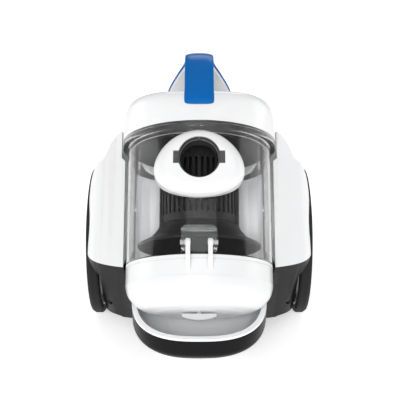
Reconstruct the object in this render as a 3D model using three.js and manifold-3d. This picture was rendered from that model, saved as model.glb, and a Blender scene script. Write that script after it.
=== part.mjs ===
// Bagless canister vacuum cleaner: wheeled chassis, lift-out dust bin with a
// carrying handle, suction motor, cord reel and front castor.
// Millimetres, +Z up, front of the machine towards -Y, origin on the floor
// below the centre of the bounding box.
import * as THREE from 'three';
import { mergeVertices } from 'three/addons/utils/BufferGeometryUtils.js';
import Module from 'manifold-3d';

const wasm = await Module();
wasm.setup();

// ---------------------------------------------------------------- dimensions
const GAP = 0.3; // clearance between touching pieces
const WALL = 2.6; // moulded shell thickness

// facets round a full turn, by the size of the piece
const FINE = 32;
const MEDIUM = 22;
const COARSE = 16;
const SMALL = 10;

const BIN_LEAN = THREE.MathUtils.degToRad(42); // bin axis leans back from vertical
const RIM_Y = -9; // centre of the bin's top rim
const RIM_Z = 218;

const CUP_R = 77;
const CUP_WALL = 2.4;
const CUP_LENGTH = 131;
const BEAD_R = 82.7;
const BEAD_HALF = 3.4;
const BAY_R = 80.8; // clearance bore that the bin slides in
const HOOD_BAY_R = 84.8;

const INLET_A = -37.5; // hose inlet centre along the bin axis
const INLET_R = 21;
const COLLAR_A = -45.2; // widest level of the collar round the inlet
const COLLAR_FACE = 92;

const HINGE_P = 83;
const HINGE_A = -121;
const PIN_R = 2.5;
const ARM_X = 10.9; // door arms either side of the centre
const ARM_HALF = 2.2;

const DOOR_TOP = -(CUP_LENGTH + GAP);
const DOOR_BAND = -154;
const DOOR_END = -181;
const DOOR_END_R = 45;

const LATCH_P = 23; // straight front edge of the thumb button under the door
const LATCH_TRAVEL = 1.5;

const HOOD_TOP = 41;
// [radius, height, squareness] of the hood from the rim up; only its front half is squared
const HOOD_LEVELS = [
  [BEAD_R, BEAD_HALF + GAP, 2], [82.3, 12, 2.2], [81.4, 22, 2.5], [79.6, 30, 2.8], [76, 36, 3],
  [70, 39.6, 3], [62, HOOD_TOP, 3],
];

const SHROUD_R = 42.5;
const SHROUD_BOTTOM = -88;
const SKIRT_R = 65;
const SKIRT_BOTTOM = -112;

const NOSE_HALF = 73;
const NOSE_BACK = -80;
const NOSE_REACH = 85;
const NOSE_POWER = 2.7;
const LIP_Z = 77.5;
const LIP_THICK = 2.5;
const BOWL_FLOOR = 39;
const CRADLE_BACK = -48;

const BODY_HALF = 121.3;
const PARTING_Z = 118; // white shells above, dark skirts below
const SPLIT_Y = 29.3; // side shells in front, rear shell behind
const REAR_PARTING_Z = 62;
const REAR_Y = 174;
const FLOOR_Z = 22; // underside of the chassis
const SKIRT_FRONT = -93.5; // front of the skirts at the parting line
const SKIRT_RAKE = 42; // how far they slope back towards the floor
const SCREW = { x: 102, y: -45.5, z: 44 }; // sunk in the front of each skirt

const WHEEL_R = 86;
const WHEEL_Y = 19;
const WHEEL_IN = 111.5;
const WHEEL_OUT = 124.5;
const HUB_OUT = 127.3;
const AXLE_R = 8;
const ARCH_R = WHEEL_R + 3.5; // wheel arch sunk into the body sides
const ARCH_IN = 108.8;

const CASTOR_Y = -92;
const CASTOR_TRAIL = 14;
const CASTOR_R = 14;

const MOTOR = { y: 52, z: 88, r: 40, x0: -69, x1: -23 };
const FAN = { x0: -20, x1: -4, r: 44 };
const CORD = { x: 56.6, z: 84 };
const REEL = { y: 76, z: 92, x0: 16, x1: 62, rim: 58, core: 26 };

// ----------------------------------------------------------------- materials
const finish = (color, roughness, metalness = 0, opacity = 1) =>
  new THREE.MeshStandardMaterial({ color, roughness, metalness, opacity, transparent: opacity < 1 });
const WHITE = finish(0xf2f3f4, 0.25);
const BLUE = finish(0x1668b8, 0.3);
const DARK = finish(0x3a3b3d, 0.45);
const BLACK = finish(0x151516, 0.5);
const CLEAR = finish(0x8f9496, 0.08, 0, 0.35);
const STEEL = finish(0xa8abae, 0.3, 0.9);
const COPPER = finish(0xb4703a, 0.4, 0.8);
const RUBBER = finish(0x1c1c1d, 0.85);
const FOAM = finish(0x4a4e55, 0.95);
const PAPER = finish(0xe6e4da, 0.9);
const GREY = finish(0x9a9da0, 0.5);

// ------------------------------------------------------------- solid helpers
function toSolid(geometry) {
  const bare = new THREE.BufferGeometry();
  bare.setAttribute('position', geometry.getAttribute('position'));
  if (geometry.index) bare.setIndex(geometry.index);
  const merged = mergeVertices(bare, 1e-4);
  const p = merged.getAttribute('position').array;
  const index = merged.index.array;
  const tris = [];
  let volume = 0;
  const v = (i) => new THREE.Vector3(p[3 * i], p[3 * i + 1], p[3 * i + 2]);
  for (let i = 0; i < index.length; i += 3) {
    const [a, b, c] = [index[i], index[i + 1], index[i + 2]];
    if (a === b || b === c || a === c) continue;
    tris.push(a, b, c);
    volume += v(a).dot(v(b).cross(v(c)));
  }
  if (volume < 0) tris.reverse();
  const mesh = new wasm.Mesh({
    numProp: 3,
    vertProperties: new Float32Array(p),
    triVerts: new Uint32Array(tris),
  });
  return new wasm.Manifold(mesh);
}

function toMesh(name, solid, material) {
  const { vertProperties, triVerts, numProp } = solid.getMesh();
  const position = new Float32Array((vertProperties.length / numProp) * 3);
  for (let i = 0; i < position.length / 3; i++) {
    for (let k = 0; k < 3; k++) position[3 * i + k] = vertProperties[numProp * i + k];
  }
  const geometry = new THREE.BufferGeometry();
  geometry.setAttribute('position', new THREE.BufferAttribute(position, 3));
  geometry.setIndex(new THREE.BufferAttribute(new Uint32Array(triVerts), 1));
  const mesh = new THREE.Mesh(geometry, material);
  mesh.name = name;
  return mesh;
}

// axis-aligned block between two corners
function block([x0, y0, z0], [x1, y1, z1]) {
  const geometry = new THREE.BoxGeometry(x1 - x0, y1 - y0, z1 - z0);
  return toSolid(geometry.translate((x0 + x1) / 2, (y0 + y1) / 2, (z0 + z1) / 2));
}

// outline in the plane, extruded along +Z
function prism(points, z0, z1) {
  const shape = new THREE.Shape(points.map(([x, y]) => new THREE.Vector2(x, y)));
  const geometry = new THREE.ExtrudeGeometry(shape, { depth: z1 - z0, bevelEnabled: false });
  return toSolid(geometry.translate(0, 0, z0));
}

// profile of [radius, height] revolved about Z
function turned(profile, segments = MEDIUM) {
  const points = profile.map(([r, z]) => new THREE.Vector2(Math.max(r, 0), z));
  return toSolid(new THREE.LatheGeometry(points, segments).rotateX(Math.PI / 2));
}

const rod = (r, z0, z1, segments = COARSE) => turned([[0, z0], [r, z0], [r, z1], [0, z1]], segments);
const tube = (rOut, rIn, z0, z1, segments = MEDIUM) =>
  turned([[rIn, z0], [rOut, z0], [rOut, z1], [rIn, z1], [rIn, z0]], segments);

// turn a solid built about Z so that its axis runs along X or Y
const alongX = (solid) => solid.rotate([0, 90, 0]);
const alongY = (solid) => solid.rotate([-90, 0, 0]);

// closed skin through rings of points that all have the same count
function loft(rings) {
  const n = rings[0].length;
  const position = rings.flat(2);
  const index = [];
  for (let k = 0; k + 1 < rings.length; k++) {
    for (let i = 0; i < n; i++) {
      const j = (i + 1) % n;
      index.push(k * n + i, k * n + j, (k + 1) * n + j, k * n + i, (k + 1) * n + j, (k + 1) * n + i);
    }
  }
  for (const k of [0, rings.length - 1]) {
    const c = position.length / 3;
    const ring = rings[k];
    for (let a = 0; a < 3; a++) position.push(ring.reduce((s, q) => s + q[a], 0) / n);
    for (let i = 0; i < n; i++) {
      const [u, w] = k ? [i, (i + 1) % n] : [(i + 1) % n, i];
      index.push(c, k * n + u, k * n + w);
    }
  }
  const geometry = new THREE.BufferGeometry();
  geometry.setAttribute('position', new THREE.Float32BufferAttribute(position, 3));
  geometry.setIndex(index);
  return toSolid(geometry);
}

// from the bin's own frame (front -Y, axis +Z, rim centre at 0) to the machine
const placeBin = (solid) =>
  solid.rotate([-THREE.MathUtils.radToDeg(BIN_LEAN), 0, 0]).translate([0, RIM_Y, RIM_Z]);

// mirror image of a right-hand piece for the left side
const sided = (solid, side) => (side > 0 ? solid : solid.mirror([1, 0, 0]));

const superArc = (u, power) => Math.sign(u) * Math.abs(u) ** (2 / power);

// ----------------------------------------------------- clearances of the bin
function doorProfile(grow) {
  return [
    [CUP_R + grow, DOOR_BAND],
    [CUP_R - 2.5 + grow, DOOR_BAND - 9],
    [CUP_R - 9 + grow, DOOR_BAND - 17],
    [CUP_R - 19 + grow, DOOR_BAND - 23.5],
    [DOOR_END_R + grow, DOOR_END - grow],
  ];
}

function binClearance() {
  const profile = [
    [0, DOOR_END - 1.8],
    ...doorProfile(1.8).reverse(),
    [BAY_R, DOOR_BAND + 6],
    [BAY_R, -14],
    [HOOD_BAY_R, -10],
    [HOOD_BAY_R, 120],
    [0, 120],
  ];
  return placeBin(turned(profile, FINE));
}

function bayWall(thickness) {
  const profile = [
    [0, DOOR_END],
    [BAY_R + thickness, DOOR_END],
    [BAY_R + thickness, -14],
    [HOOD_BAY_R + thickness, -10],
    [HOOD_BAY_R + thickness, 120],
    [0, 120],
  ];
  return placeBin(turned(profile, FINE));
}

const binSpace = binClearance();
const bayOuter = bayWall(WALL);

// wheel arches of both sides, grown by the wall that lines them
function wheelArches(thickness) {
  const right = alongX(rod(ARCH_R + thickness, ARCH_IN - thickness, BODY_HALF + 20, FINE))
    .translate([0, WHEEL_Y, WHEEL_R]);
  return right.add(right.mirror([1, 0, 0]));
}

const arches = wheelArches(0);
const archLiners = wheelArches(WALL);

// -------------------------------------------------------------- chassis nose
// plan outline of the nose, closed by a straight back
function noseOutline(inset, back = CRADLE_BACK) {
  const half = NOSE_HALF - inset;
  const reach = NOSE_REACH - inset;
  const points = [[half, back]];
  for (let i = 0; i <= 24; i++) {
    const t = (Math.PI * i) / 24;
    const x = half * superArc(Math.cos(t), NOSE_POWER);
    points.push([x, NOSE_BACK - reach * superArc(Math.sin(t), NOSE_POWER)]);
  }
  points.push([-half, back]);
  return points.reverse();
}

const ringAt = (outline, z) => outline.map(([x, y]) => [x, y, z]);

function frontCradle() {
  const lip = prism(noseOutline(0), LIP_Z - LIP_THICK, LIP_Z);
  const outer = [[28, BOWL_FLOOR], [20, 44], [13.5, 50], [8, 56], [5, LIP_Z - LIP_THICK + 0.1]];
  const inner = [[40, 43.5], [28, 48], [18, 55], [12, 63], [8.3, 70], [6, 75], [5, LIP_Z + 1]];
  const bowl = loft(outer.map(([inset, z]) => ringAt(noseOutline(inset), z)));
  const cavity = loft(inner.map(([inset, z]) => ringAt(noseOutline(inset, CRADLE_BACK + 5), z)));
  const socket = rod(7, BOWL_FLOOR - 8, BOWL_FLOOR + 1).translate([0, CASTOR_Y, 0]);
  const castorHole = rod(4.3, BOWL_FLOOR - 10, BOWL_FLOOR - 1).translate([0, CASTOR_Y, 0]);
  return lip.add(bowl).subtract(cavity).add(socket).subtract(castorHole).subtract(binSpace);
}

function frontBumper() {
  const top = LIP_Z - LIP_THICK - GAP;
  const rings = [[26, 34], [14, 43], [6, 49], [0, 55], [0, top]].map(
    ([inset, z]) => ringAt(noseOutline(inset), z));
  const cores = [[31, 33], [18.5, 43], [10.5, 49], [4.6, 56], [4.6, top + 1]].map(
    ([inset, z]) => ringAt(noseOutline(inset, CRADLE_BACK + 5), z));
  return loft(rings).subtract(loft(cores));
}

// --------------------------------------------------------------- side panels
// outline of a side shell seen along the bin's front normal: x and bin axis
const SHOULDER_TOP = 22;
const SHOULDER = [
  [83, SHOULDER_TOP], [90, 17], [97, 8], [101, -1], [105, -9], [112, -14], [117.5, -26],
  [120.5, -44], [BODY_HALF, -66], [BODY_HALF, -230],
];

function shellBlank(inset, front, back) {
  const top = SHOULDER.map(([x, a]) => [x - inset, a - inset]);
  const outline = [[60, SHOULDER_TOP - inset], ...top, [60, -230]];
  const slab = prism(outline, 0, back - front); // outline in X and bin axis
  const placed = slab.rotate([90, 0, 0]).translate([0, back, 0]); // depth now runs along Y
  return placed;
}

// plan of the outer front corner, cut along the bin axis
const FRONT_CORNER = [
  [50, 3], [77, 3.2], [90, 6], [101, 9.2], [111, 12.4], [118.4, 16.6], [120.7, 21], [BODY_HALF, 27],
];

function roundedFront(inset) {
  const corner = FRONT_CORNER.map(([x, y]) => [x > 115 ? x - inset : x, y + inset]);
  return prism([...corner, [BODY_HALF - inset, 200], [50, 200]], -240, SHOULDER_TOP);
}

function sideShell(side) {
  const outer = shellBlank(0, 2, 180).intersect(roundedFront(0));
  const inner = shellBlank(WALL, 2, 181).intersect(roundedFront(WALL));
  const keep = block([40, -160, PARTING_Z + GAP], [130, SPLIT_Y, 300]);
  const hollow = placeBin(inner).subtract(bayOuter).subtract(archLiners);
  const shell = placeBin(outer).subtract(binSpace).subtract(arches).subtract(hollow);
  const bayCut = placeBin(block([0, 30 - GAP, -240], [90, 220, 60])).intersect(bayOuter);
  const right = shell.subtract(bayCut).intersect(keep);
  return sided(right, side);
}

// dark panel below the parting line, undercut towards the floor
function skirtOutline(t, inset) {
  const front = SKIRT_FRONT + SKIRT_RAKE * t + inset;
  const outer = BODY_HALF - 11 * t - inset;
  const inner = inset ? 60 : NOSE_HALF + 1.5;
  const back = inset ? SPLIT_Y + 5 : SPLIT_Y;
  return [[inner, front], [88, front + 3], [outer - 19, front + 9], [outer - 9, front + 12.5],
    [outer - 2.8, front + 15], [outer - 0.3, front + 20], [outer, front + 29], [outer, back], [inner, back]];
}

function sideSkirt(side) {
  const level = (z) => (PARTING_Z - z) / (PARTING_Z - FLOOR_Z);
  const ring = (z, inset) => ringAt(skirtOutline(level(z), inset), z);
  const outer = loft([ring(FLOOR_Z, 0), ring(PARTING_Z, 0)]);
  const inner = loft([ring(FLOOR_Z + WALL, WALL), ring(PARTING_Z - WALL, WALL)]);
  const axleHole = alongX(rod(AXLE_R + GAP, 95, 130)).translate([0, WHEEL_Y, WHEEL_R]);
  const screwHole = alongY(rod(3.3, -80, -20, SMALL)).translate([SCREW.x, 0, SCREW.z]);
  const hollow = inner.subtract(archLiners);
  const cuts = [hollow, arches, axleHole, screwHole, binSpace];
  const right = cuts.reduce((panel, cut) => panel.subtract(cut), outer);
  return sided(right, side);
}

function skirtScrew(side) {
  const shank = rod(2.2, 0, 14, SMALL);
  const head = rod(3, -2.2, 0.1, SMALL);
  const slot = block([-2.2, -0.5, -3], [2.2, 0.5, -1.2]);
  const screw = head.add(shank).subtract(slot).subtract(block([-0.5, -2.2, -3], [0.5, 2.2, -1.2]));
  return alongY(screw).translate([SCREW.x * side, SCREW.y, SCREW.z]);
}

// ------------------------------------------------------------- rear housings
const REAR_SECTIONS = [
  { y: SPLIT_Y + GAP, half: 120, top: 205 },
  { y: 72, half: 118, top: 204 },
  { y: 112, half: 111, top: 190 },
  { y: 144, half: 100, top: 165 },
  { y: 164, half: 86, top: 136 },
  { y: REAR_Y, half: 70, top: 112 },
];

function rearSection({ y, half, top }, inset) {
  const points = [];
  const base = REAR_PARTING_Z - (inset ? 5 : 0);
  for (let i = 0; i <= 20; i++) {
    const t = (Math.PI * i) / 20;
    const x = (half - inset) * superArc(Math.cos(t), 3);
    points.push([x, y, base + (top - inset - base) * superArc(Math.sin(t), 3)]);
  }
  return points;
}

function rearShell() {
  const outer = loft(REAR_SECTIONS.map((s) => rearSection(s, 0)));
  const stretched = REAR_SECTIONS.map((s, i) => {
    const shift = i === 0 ? -5 : i === REAR_SECTIONS.length - 1 ? -WALL : 0;
    return rearSection({ ...s, y: s.y + shift }, WALL);
  });
  const inner = loft(stretched).subtract(bayOuter).subtract(archLiners);
  const grilleHole = block([-46, REAR_Y - 10, 66], [46, REAR_Y + 5, 102]);
  const cordHole = alongY(rod(8.4, REAR_Y - 40, REAR_Y + 5, COARSE)).translate([CORD.x, 0, CORD.z]);
  const shell = [binSpace, arches, inner, grilleHole, cordHole].reduce((body, cut) => body.subtract(cut), outer);
  return [-1, 1].reduce((s, side) => s.subtract(pedalHole(side)), shell);
}

const PEDAL = { x: 40, y: 122, z: 181, half: 15, depth: 12 };
const PEDAL_TILT = -38;

function pedalShape(grow, z0, z1) {
  const points = [];
  for (let i = 0; i < 20; i++) {
    const t = (2 * Math.PI * i) / 20;
    const x = (PEDAL.half + 5 + grow) * superArc(Math.cos(t), 3);
    points.push([x, (PEDAL.depth + grow) * superArc(Math.sin(t), 3)]);
  }
  return prism(points, z0, z1);
}

const placePedal = (solid, side) =>
  solid.rotate([PEDAL_TILT, 0, 0]).translate([PEDAL.x * side, PEDAL.y, PEDAL.z]);
const pedalHole = (side) => placePedal(pedalShape(0.6, -25, 30), side);
const pedal = (side) => placePedal(pedalShape(0, -5, 4), side);

function binBay() {
  const half = block([-NOSE_HALF, -200, 30], [NOSE_HALF, SPLIT_Y, 300]);
  const backOnly = placeBin(block([-100, 30, CRADLE_BACK - 102], [100, 200, -20]));
  const port = placeBin(alongY(rod(16, 60, 120)).translate([0, 0, -60]));
  const floorCut = block([-100, -200, 0], [100, CRADLE_BACK + GAP, 90]);
  return bayOuter.subtract(binSpace).intersect(half).intersect(backOnly).subtract(port).subtract(floorCut);
}

const TUB = [
  [NOSE_HALF, CRADLE_BACK + GAP], [NOSE_HALF, SPLIT_Y + GAP], [107, SPLIT_Y + GAP], [107.5, 60], [107, 105],
  [98, 135], [82, 154], [66, REAR_Y - 3],
];

function lowerChassis() {
  const mirror = (pts) => [...pts, ...pts.map(([x, y]) => [-x, y]).reverse()];
  const shift = { 0: 3, 2: 3, [TUB.length - 1]: -3 };
  const insetTub = TUB.map(([x, y], i) => [x - 3, y + (shift[i] ?? 0)]);
  const top = REAR_PARTING_Z - GAP;
  const outer = prism(mirror(TUB), FLOOR_Z, top).subtract(
    block([-80, -60, 46], [80, SPLIT_Y, 70]));
  const inner = prism(mirror(insetTub), FLOOR_Z + 2.6, top + 5);
  const vents = [-1, 1].map((s) => block([s * 30 - 10, 120, FLOOR_Z - 1], [s * 30 + 10, 124, FLOOR_Z + 4]));
  const tub = outer.subtract(inner).subtract(vents[0]).subtract(vents[1]).subtract(bayOuter);
  const cradleBore = alongX(rod(MOTOR.r + 6, -120, 120, MEDIUM)).translate([0, MOTOR.y, MOTOR.z]);
  const supports = [MOTOR.x0 + 10, MOTOR.x1 - 10].map((x) =>
    block([x - 3, MOTOR.y - 18, FLOOR_Z + 2], [x + 3, MOTOR.y + 26, MOTOR.z - 10]).subtract(cradleBore));
  return supports.reduce((s, q) => s.add(q), tub);
}

function exhaustGrille() {
  let panel = block([-45.4, REAR_Y - 4, 66.6], [45.4, REAR_Y - 0.5, 101.4]);
  for (let i = 0; i < 5; i++) {
    const z = 71.5 + 5.6 * i;
    panel = panel.subtract(block([-40, REAR_Y - 6, z], [40, REAR_Y + 1, z + 2.8]));
  }
  return panel;
}

function exhaustFilter() {
  let filter = block([-44, REAR_Y - 20, 67.5], [44, REAR_Y - 4 - GAP, 100.5]);
  for (let i = 0; i < 10; i++) {
    const x = -40 + 8.4 * i;
    filter = filter.subtract(block([x, REAR_Y - 21, 70], [x + 4, REAR_Y - 8, 98]));
  }
  return filter;
}

// flanged eyelet that the mains cord runs through
const cordOutlet = () => alongY(turned([
  [4.5, REAR_Y - 22], [11, REAR_Y - 22], [11, REAR_Y - 20], [8, REAR_Y - 20], [8, REAR_Y - 1], [6.5, REAR_Y],
  [4.5, REAR_Y - 1.5], [4.5, REAR_Y - 22],
], COARSE)).translate([CORD.x, 0, CORD.z]);

// -------------------------------------------------------------------- wheels
const onAxle = (solid, side) => sided(alongX(solid), side).translate([0, WHEEL_Y, WHEEL_R]);

function tyre(side) {
  return onAxle(turned([
    [WHEEL_R - 9, WHEEL_IN], [WHEEL_R - 2, WHEEL_IN], [WHEEL_R, WHEEL_IN + 2], [WHEEL_R, WHEEL_OUT - 4],
    [WHEEL_R - 2.5, WHEEL_OUT - 0.5], [WHEEL_R - 9, WHEEL_OUT + 0.5], [WHEEL_R - 9, WHEEL_IN],
  ], FINE), side);
}

function wheelDisc(side) {
  const rim = WHEEL_R - 9 - GAP;
  return onAxle(turned([
    [AXLE_R + GAP, WHEEL_IN], [20, WHEEL_IN], [20, WHEEL_IN + 6], [rim - 3, WHEEL_IN + 4], [rim - 3, WHEEL_IN],
    [rim, WHEEL_IN], [rim, WHEEL_OUT + 0.2], [58, WHEEL_OUT + 0.6], [30, WHEEL_OUT + 1],
    [AXLE_R + GAP, WHEEL_OUT + 1], [AXLE_R + GAP, WHEEL_IN],
  ], FINE), side);
}

const hubCap = (side) => onAxle(turned([
  [0, WHEEL_OUT + 1.3], [27, WHEEL_OUT + 1.3], [26, WHEEL_OUT + 1.9], [18, HUB_OUT - 0.3], [0, HUB_OUT],
], COARSE), side);

const axleStub = (side) => onAxle(turned([
  [0, 99], [18, 99], [18, 104], [AXLE_R, 104], [AXLE_R, WHEEL_OUT + 0.8], [0, WHEEL_OUT + 0.8],
], COARSE), side);

// ----------------------------------------------------------- swivelling castor
const CASTOR_AXLE_Y = CASTOR_Y + CASTOR_TRAIL;

function castorFork() {
  const stem = rod(4, 27, BOWL_FLOOR - 1.5, COARSE).translate([0, CASTOR_Y, 0]);
  const crown = rod(13, 24, 29.5, COARSE).translate([0, CASTOR_Y, 0]);
  const bridge = block([-11, CASTOR_Y, 29.2 - 0.8], [11, CASTOR_AXLE_Y + 5, 30.6]);
  const legs = [-1, 1].map(
    (s) => block([s * 9.5 - 1.5, CASTOR_Y - 4, 8], [s * 9.5 + 1.5, CASTOR_AXLE_Y + 5, 30]));
  const roomForWheel = alongX(rod(CASTOR_R + 1.2, -7.6, 7.6, COARSE)).translate([0, CASTOR_AXLE_Y, CASTOR_R]);
  const bore = alongX(rod(2.3, -20, 20, SMALL)).translate([0, CASTOR_AXLE_Y, CASTOR_R]);
  return stem.add(crown).add(bridge).add(legs[0]).add(legs[1]).subtract(roomForWheel).subtract(bore);
}

const castorWheel = () => alongX(turned([
  [2.8, -7], [CASTOR_R - 2, -7], [CASTOR_R, -5], [CASTOR_R, 5], [CASTOR_R - 2, 7], [2.8, 7], [2.8, -7],
], COARSE)).translate([0, CASTOR_AXLE_Y, CASTOR_R]);

const castorPin = () => alongX(rod(2, -10.8, 10.8, SMALL)).translate([0, CASTOR_AXLE_Y, CASTOR_R]);

// --------------------------------------------------------------- suction motor
const onMotor = (solid) => alongX(solid).translate([0, MOTOR.y, MOTOR.z]);

function motorCan() {
  const { r, x0, x1 } = MOTOR;
  const can = turned([[6, x0], [r, x0], [r, x1], [r - 1.6, x1], [r - 1.6, x0 + 1.6], [6, x0 + 1.6], [6, x0]]);
  return onMotor(can);
}

const motorStator = () => onMotor(tube(MOTOR.r - 2.6, 22.5, MOTOR.x0 + 8, MOTOR.x1 - 6, COARSE));

function motorRotor() {
  const core = turned([
    [0, MOTOR.x0 + 5], [4, MOTOR.x0 + 5], [4, MOTOR.x0 + 10], [21, MOTOR.x0 + 10], [21, MOTOR.x1 - 8],
    [4, MOTOR.x1 - 8], [4, FAN.x1 - 3], [0, FAN.x1 - 3],
  ], COARSE);
  return onMotor(core);
}

function suctionFan() {
  const { x0, r } = FAN;
  let fan = tube(r - 3, 4 + GAP, x0 + 2, x0 + 3.4, MEDIUM).add(tube(9, 4 + GAP, x0 + 2, x0 + 11, COARSE));
  for (let i = 0; i < 7; i++) {
    const blade = block([12, -0.8, x0 + 3.2], [r - 10, 0.8, x0 + 10])
      .rotate([0, 0, -35]).translate([0, -7, 0]);
    fan = fan.add(blade.rotate([0, 0, (360 * i) / 7]));
  }
  return onMotor(fan);
}

function fanCover() {
  const { x0, x1, r } = FAN;
  const cover = turned([
    [6, x0 - 2.4], [r, x0 - 2.4], [r, x1], [14, x1], [14, x1 - 1.8], [r - 1.8, x1 - 1.8], [r - 1.8, x0 - 0.6],
    [6, x0 - 0.6], [6, x0 - 2.4],
  ], MEDIUM);
  const vent = (a) => block([r - 6, -7, x0 - 0.2], [r + 2, 7, x1 - 3]).rotate([0, 0, a]);
  return onMotor([60, 120, 240, 300].reduce((s, a) => s.subtract(vent(a)), cover));
}

const motorMount = (x) => onMotor(tube(MOTOR.r + 5, MOTOR.r + 1.2, x - 4, x + 4, COARSE));

// -------------------------------------------------------------------- cord reel
const onReel = (solid) => alongX(solid).translate([0, REEL.y, REEL.z]);

function reelDrum() {
  const { x0, x1, rim, core } = REEL;
  return onReel(turned([
    [core - 2, x0], [rim, x0], [rim, x0 + 2], [core, x0 + 2], [core, x1 - 2], [rim, x1 - 2], [rim, x1],
    [10, x1], [10, x1 - 2], [core - 2, x1 - 2], [core - 2, x0],
  ], MEDIUM));
}

function reelBracket() {
  const { x0, x1, y, z } = REEL;
  const plate = block([x1 + 4, y - 22, FLOOR_Z + 3.5], [x1 + 7, y + 22, z + 14]);
  const spindle = onReel(turned(
    [[0, x0 + 4], [8, x0 + 4], [8, x1 + 2], [14, x1 + 2], [14, x1 + 5], [0, x1 + 5]], COARSE));
  return plate.add(spindle);
}

const reelSpring = () => onReel(tube(22, 9.5, REEL.x0 + 10, REEL.x0 + 18, COARSE));

const reelBrake = () => {
  const arm = block([REEL.x1 + 0.6, REEL.y - 4, REEL.z + 46], [REEL.x1 + 3, REEL.y + 4, REEL.z + 66]);
  return arm.add(block([REEL.x1 - 8, REEL.y - 4, REEL.z + 58.6], [REEL.x1 + 3, REEL.y + 4, REEL.z + 62]));
};

const motorInletSeal = () => onMotor(tube(19, 16.5, FAN.x1 + 0.6, FAN.x1 + 14, COARSE));

const switchBlock = () => block([-9, 96, FLOOR_Z + 3.5], [9, 112, FLOOR_Z + 22]);

// ------------------------------------------------------------------ dust cup
function dustCup() {
  const cup = turned([
    [CUP_R - CUP_WALL, -CUP_LENGTH], [CUP_R, -CUP_LENGTH], [CUP_R, -BEAD_HALF], [BEAD_R - 1.5, -BEAD_HALF],
    [BEAD_R, -BEAD_HALF + 1.5], [BEAD_R, BEAD_HALF - 1.5], [BEAD_R - 1.5, BEAD_HALF],
    [CUP_R - CUP_WALL, BEAD_HALF], [CUP_R - CUP_WALL, -CUP_LENGTH],
  ], FINE);
  const port = rod(INLET_R + 3.9, 50, 100, MEDIUM).rotate([90, 0, 0]).translate([0, 0, INLET_A]);
  return cup.subtract(port);
}

// egg-shaped outline of the inlet collar, narrower towards the rim
function collarOutline(grow) {
  const points = [];
  for (let i = 0; i < 30; i++) {
    const t = (2 * Math.PI * i) / 30;
    const c = Math.cos(t);
    const reach = c > 0 ? 38 : 30;
    points.push([(44.5 + grow) * Math.sin(t) * (1 - 0.12 * c), (reach + grow) * c]);
  }
  return points;
}

function inletCollar() {
  const rings = [[0, 40], [0, 86], [-2, 90], [-5, COLLAR_FACE]].map(
    ([grow, p]) => ringAt(collarOutline(grow), p));
  const front = loft(rings).rotate([90, 0, 0]).translate([0, 0, COLLAR_A]);
  const bore = rod(INLET_R, 30, 120, MEDIUM).rotate([90, 0, 0]).translate([0, 0, INLET_A]);
  const spigot = rod(INLET_R + 3.4, 69.5, 80, MEDIUM).rotate([90, 0, 0]).translate([0, 0, INLET_A]);
  const notches = [-1, 1].map((s) => block([s * 21.5 - 4, -COLLAR_FACE - 5, INLET_A - 6.5],
    [s * 21.5 + 4, -COLLAR_FACE + 14, INLET_A + 6.5]));
  const body = front.subtract(rod(CUP_R + GAP, -140, 40, FINE)).add(spigot);
  return notches.reduce((s, n) => s.subtract(n), body.subtract(bore));
}

function hingeBracket() {
  const plate = block([-17.5, -(CUP_R + 1.6), -129], [17.5, -(CUP_R + GAP), -103]);
  const lugs = [-1, 1].map((s) => block([s * 15.8 - 1.7, -HINGE_P - 4, HINGE_A - 6],
    [s * 15.8 + 1.7, -(CUP_R + GAP), HINGE_A + 14]));
  const stop = block([-17.5, -(CUP_R + 5), -107], [17.5, -(CUP_R + GAP), -104]);
  const bore = alongX(rod(PIN_R + GAP, -30, 30, COARSE)).translate([0, -HINGE_P, HINGE_A]);
  return plate.add(lugs[0]).add(lugs[1]).add(stop).subtract(bore);
}

// short pin through one lug and one door arm
const hingePin = (side) =>
  sided(alongX(rod(PIN_R, 8.2, 17.9, COARSE)), side).translate([0, -HINGE_P, HINGE_A]);

function binDoor() {
  const shell = turned([
    [CUP_R - 3, DOOR_TOP], [CUP_R, DOOR_TOP], ...doorProfile(0), [0, DOOR_END],
    [0, DOOR_END + 3], [DOOR_END_R - 1, DOOR_END + 3], [CUP_R - 21, DOOR_BAND - 21], [CUP_R - 12, DOOR_BAND - 15],
    [CUP_R - 5.5, DOOR_BAND - 8], [CUP_R - 3, DOOR_BAND], [CUP_R - 3, DOOR_TOP],
  ], FINE);
  const bore = alongX(rod(PIN_R + GAP, -30, 30, COARSE)).translate([0, -HINGE_P, HINGE_A]);
  const arms = [-1, 1].map((s) => {
    const [x0, x1] = [s * ARM_X - ARM_HALF, s * ARM_X + ARM_HALF];
    const eye = alongX(rod(4.2, x0, x1, SMALL)).translate([0, -HINGE_P, HINGE_A]);
    const outline = [[-HINGE_P - 4.2, HINGE_A], [-HINGE_P + 3.6, HINGE_A], [-HINGE_P + 3.6, DOOR_TOP - 0.5],
      [-CUP_R + 2, DOOR_TOP - 0.5], [-CUP_R + 2, DOOR_TOP - 14], [-CUP_R - 2.5, DOOR_TOP - 14],
      [-HINGE_P - 4.2, DOOR_TOP - 4]];
    return eye.add(prism(outline, x0, x1).rotate([90, 0, 90]));
  });
  const stemHole = rod(3.4, DOOR_END - 5, DOOR_END + 5, COARSE).translate([0, 5 - LATCH_P, 0]);
  return arms.reduce((d, arm) => d.add(arm.subtract(bore)), shell.subtract(stemHole));
}

// half-round thumb button under the door, on a sprung stem
function latchButton() {
  const plate = rod(17.6, DOOR_END - 5.5, DOOR_END - LATCH_TRAVEL - GAP, MEDIUM)
    .intersect(block([-20, 0, -200], [20, 20, -170]));
  const stem = rod(3, DOOR_END - 5, DOOR_END + 11, COARSE).translate([0, 5, 0]);
  return plate.add(stem).translate([0, -LATCH_P, 0]);
}

const latchSpring = () =>
  tube(4.6, 3.5, DOOR_END + 3.3, DOOR_END + 10.6, COARSE).translate([0, 5 - LATCH_P, 0]);

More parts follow.
